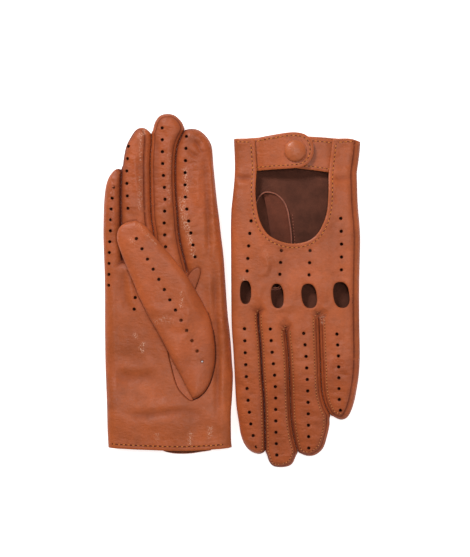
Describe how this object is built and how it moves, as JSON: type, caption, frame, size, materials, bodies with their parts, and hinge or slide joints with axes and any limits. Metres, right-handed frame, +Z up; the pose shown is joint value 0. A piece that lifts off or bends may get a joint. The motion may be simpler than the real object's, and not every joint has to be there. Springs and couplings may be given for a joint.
{
  "type": "leather driving gloves",
  "caption": "Pair of unlined leather driving gloves laid flat, one palm up and one back up, with open knuckles, a cut-out back and a covered snap strap.",
  "frame": {"origin": "on the table under the middle of the pair's bounding box", "axes": "+Y along the gloves, towards the right glove's fingertips and the left glove's cuff; +X from the right glove to the left glove; +Z up from the table"},
  "size_m": [0.1764, 0.2418, 0.02],
  "materials": {
    "nappa": "unlined tan nappa, fine grain, soft satin",
    "nappa_palm": "the same hide on the palm, slightly darker",
    "nappa_thumb": "the same hide on the thumb",
    "nappa_finger": "the same hide on the fingers, creased and slightly glossier",
    "nappa_button": "skived hide drawn over a domed cap, satin",
    "suede_inside": "flesh side of the hide, matt dark brown suede",
    "snap_metal": "plain brass snap parts, hidden while the strap is closed"
  },
  "bodies": {
    "right_glove": {"right_back_panel": "nappa", "right_palm_panel": "nappa_palm", "right_thumb_quirk": "nappa_palm", "right_thumb_root": "nappa_thumb", "right_little_fourchette_inner": "nappa_finger", "right_ring_fourchette_outer": "nappa_finger", "right_ring_fourchette_inner": "nappa_finger", "right_middle_fourchette_outer": "nappa_finger", "right_middle_fourchette_inner": "nappa_finger", "right_index_fourchette_outer": "nappa_finger", "right_under_tab": "nappa", "right_under_tab_lining": "suede_inside", "right_snap_stud": "snap_metal", "right_snap_eyelet": "snap_metal"},
    "right_tab": {"right_closing_tab": "nappa", "right_closing_tab_lining": "suede_inside", "right_snap_cover": "nappa_button", "right_snap_cap": "snap_metal", "right_snap_socket": "snap_metal"},
    "right_thumb": {"right_thumb_end": "nappa_thumb"},
    "right_little_finger": {"right_little_finger_end": "nappa_finger"},
    "right_ring_finger": {"right_ring_finger_end": "nappa_finger"},
    "right_middle_finger": {"right_middle_finger_end": "nappa_finger"},
    "right_index_finger": {"right_index_finger_end": "nappa_finger"},
    "left_glove": {"left_back_panel": "nappa", "left_palm_panel": "nappa_palm", "left_thumb_quirk": "nappa_palm", "left_thumb_root": "nappa_thumb", "left_little_fourchette_inner": "nappa_finger", "left_ring_fourchette_outer": "nappa_finger", "left_ring_fourchette_inner": "nappa_finger", "left_middle_fourchette_outer": "nappa_finger", "left_middle_fourchette_inner": "nappa_finger", "left_index_fourchette_outer": "nappa_finger", "left_under_tab": "nappa", "left_under_tab_lining": "suede_inside", "left_snap_stud": "snap_metal", "left_snap_eyelet": "snap_metal"},
    "left_tab": {"left_closing_tab": "nappa", "left_closing_tab_lining": "suede_inside", "left_snap_cover": "nappa_button", "left_snap_cap": "snap_metal", "left_snap_socket": "snap_metal"},
    "left_thumb": {"left_thumb_end": "nappa_thumb"},
    "left_little_finger": {"left_little_finger_end": "nappa_finger"},
    "left_ring_finger": {"left_ring_finger_end": "nappa_finger"},
    "left_middle_finger": {"left_middle_finger_end": "nappa_finger"},
    "left_index_finger": {"left_index_finger_end": "nappa_finger"}
  },
  "joints": [
    {"name": "right_strap_opens", "type": "hinge", "parent": "right_glove", "child": "right_tab", "pos_m": [-0.01715, -0.09685, 0.006], "axis": [0, -1, 0], "range_deg": [0, 150]},
    {"name": "right_thumb_swings_out", "type": "hinge", "parent": "right_glove", "child": "right_thumb", "pos_m": [-0.04765, 0.00415, 0.0128], "axis": [0, 0, -1], "range_deg": [0, 40]},
    {"name": "right_little_finger_folds", "type": "hinge", "parent": "right_glove", "child": "right_little_finger", "pos_m": [-0.08196, 0.05565, 0.0045], "axis": [1, 0, 0], "range_deg": [0, 70]},
    {"name": "right_ring_finger_folds", "type": "hinge", "parent": "right_glove", "child": "right_ring_finger", "pos_m": [-0.06527, 0.06565, 0.0045], "axis": [1, 0, 0], "range_deg": [0, 70]},
    {"name": "right_middle_finger_folds", "type": "hinge", "parent": "right_glove", "child": "right_middle_finger", "pos_m": [-0.04662, 0.06965, 0.0045], "axis": [1, 0, 0], "range_deg": [0, 70]},
    {"name": "right_index_finger_folds", "type": "hinge", "parent": "right_glove", "child": "right_index_finger", "pos_m": [-0.02415, 0.06365, 0.0045], "axis": [1, 0, 0], "range_deg": [0, 70]},
    {"name": "left_strap_opens", "type": "hinge", "parent": "left_glove", "child": "left_tab", "pos_m": [0.01805, 0.09355, 0.013], "axis": [0, -1, 0], "range_deg": [0, 150]},
    {"name": "left_thumb_swings_out", "type": "hinge", "parent": "left_glove", "child": "left_thumb", "pos_m": [0.04855, -0.00745, 0.0035], "axis": [0, 0, -1], "range_deg": [0, 40]},
    {"name": "left_little_finger_folds", "type": "hinge", "parent": "left_glove", "child": "left_little_finger", "pos_m": [0.07544, -0.05895, 0.01141], "axis": [-1, 0, 0], "range_deg": [0, 70]},
    {"name": "left_ring_finger_folds", "type": "hinge", "parent": "left_glove", "child": "left_ring_finger", "pos_m": [0.05235, -0.06895, 0.01011], "axis": [-1, 0, 0], "range_deg": [0, 70]},
    {"name": "left_middle_finger_folds", "type": "hinge", "parent": "left_glove", "child": "left_middle_finger", "pos_m": [0.03124, -0.07295, 0.00958], "axis": [-1, 0, 0], "range_deg": [0, 70]},
    {"name": "left_index_finger_folds", "type": "hinge", "parent": "left_glove", "child": "left_index_finger", "pos_m": [0.01197, -0.06695, 0.01037], "axis": [-1, 0, 0], "range_deg": [0, 70]},
    {"name": "left_glove_lifts_off", "type": "slide", "parent": "right_glove", "child": "left_glove", "axis": [0, 0, 1], "range_m": [0, 0.06]}
  ]
}
